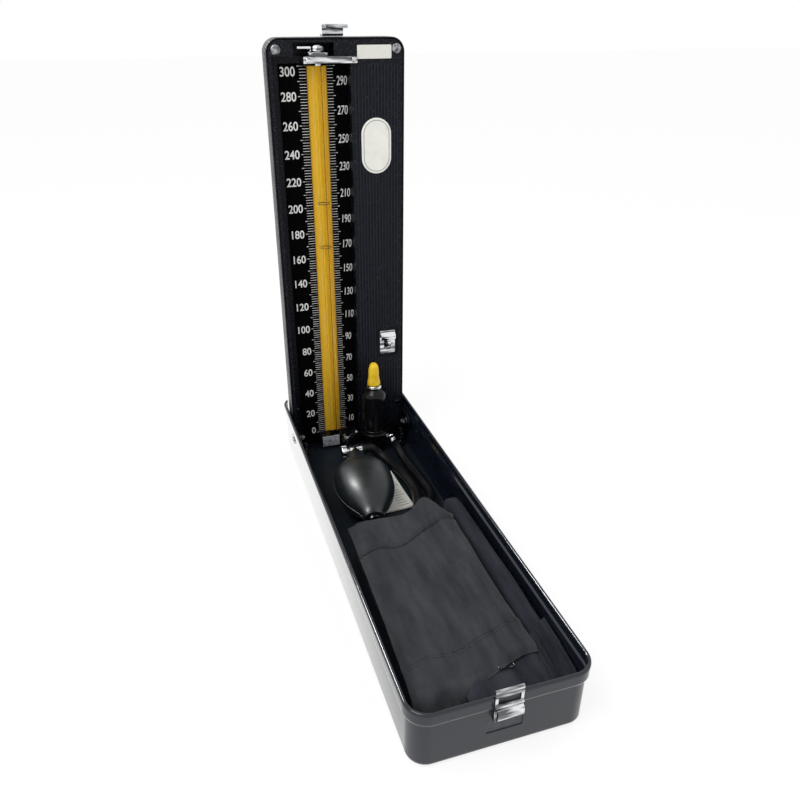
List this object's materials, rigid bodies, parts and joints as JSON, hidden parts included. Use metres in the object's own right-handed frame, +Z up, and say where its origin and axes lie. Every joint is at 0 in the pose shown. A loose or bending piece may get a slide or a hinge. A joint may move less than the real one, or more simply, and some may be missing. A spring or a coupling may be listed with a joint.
{
  "type": "mercury sphygmomanometer",
  "caption": "Desk mercury sphygmomanometer with its lid stood open on side pivots: tube, scale and reservoir in the lid, cuff, bulb and hoses in the tray.",
  "frame": {"origin": "centre of the tray's flat underside", "axes": "+X to the right as the scale is read, -Y to the latch at the front, +Z up out of the tray"},
  "size_m": [0.106, 0.3544, 0.3355],
  "materials": {
    "enamel": "gloss",
    "hammertone": "wrinkle",
    "chrome": "polished",
    "steel": "satin",
    "grey_plate": "satin",
    "scale_black": "satin",
    "amber": "satin",
    "glass": "clear",
    "mercury": "polished",
    "rubber": "matte",
    "yellow_cap": "satin",
    "cloth": "woven",
    "label": "satin",
    "paper": "matte"
  },
  "bodies": {
    "base": {"base_tray": "enamel", "pivot_screw_left": "chrome", "pivot_screw_right": "chrome", "pivot_washer_left": "steel", "pivot_washer_right": "steel", "pivot_nut_left": "chrome", "pivot_nut_right": "chrome", "stay_post_left": "chrome", "stay_post_right": "chrome", "stay_spring_left": "steel", "stay_spring_right": "steel", "latch_plate": "chrome", "latch_spring": "steel", "inflation_bulb": "rubber", "bulb_inlet_valve": "steel", "valve_body": "chrome", "valve_ferrule": "rubber", "cuff_lower_fold": "cloth", "cuff_bladder": "rubber", "cuff_upper_fold": "cloth", "cuff_roll": "cloth", "cuff_loop": "chrome", "gauge_connector": "chrome", "bulb_connector": "chrome", "gauge_hose": "rubber", "bulb_hose": "rubber", "leaflet": "paper"},
    "lid": {"lid_shell": "hammertone", "face_panel": "hammertone", "panel_rivet_left": "steel", "panel_rivet_right": "steel", "foot_screw_left": "steel", "foot_screw_right": "steel", "scale_plate": "scale_black", "backing_strip": "amber", "gauge_tube": "glass", "mercury_column": "mercury", "tube_foot_seal": "rubber", "manifold_block": "enamel", "foot_plate": "grey_plate", "cock_body": "chrome", "tube_ferrule": "chrome", "top_bracket": "chrome", "bracket_screw_left": "steel", "bracket_screw_right": "steel", "reservoir_body": "enamel", "mercury_charge": "mercury", "reservoir_collar": "chrome", "hose_nipple": "chrome", "oval_plate": "label", "blank_label": "label", "spring_clip": "chrome", "lid_catch": "chrome"},
    "latch_button": {"latch_button": "chrome"},
    "release_screw": {"release_screw": "chrome"},
    "cock_lever": {"cock_lever": "chrome"},
    "soft_cap": {"soft_cap": "yellow_cap"},
    "tube_cap": {"tube_cap": "chrome"}
  },
  "joints": [
    {"name": "lid_hinge", "type": "hinge", "parent": "base", "child": "lid", "pos_m": [0, 0.13, 0.025], "axis": [1, 0, 0], "range_deg": [0, 90]},
    {"name": "latch_button_slide", "type": "slide", "parent": "base", "child": "latch_button", "axis": [0, 0, -1], "range_m": [0, 0.002], "stiffness_N_per_m": 400, "springref_m": -0.002, "deforming": ["latch_spring"]},
    {"name": "release_screw_turn", "type": "hinge", "parent": "base", "child": "release_screw", "pos_m": [-0.0126, 0.111, 0.016], "axis": [-1, 0, 0], "range_deg": [0, 540]},
    {"name": "cock_lever_turn", "type": "hinge", "parent": "lid", "child": "cock_lever", "pos_m": [-0.0045, 0.136, 0.0104], "axis": [0, -1, 0], "range_deg": [0, 90]},
    {"name": "soft_cap_pull", "type": "slide", "parent": "lid", "child": "soft_cap", "axis": [0, 0, 1], "range_m": [0, 0.03]},
    {"name": "tube_cap_turn", "type": "hinge", "parent": "lid", "child": "tube_cap", "pos_m": [-0.013, 0.1481, 0.316], "axis": [0, 0, 1], "range_deg": [0, 90]}
  ]
}
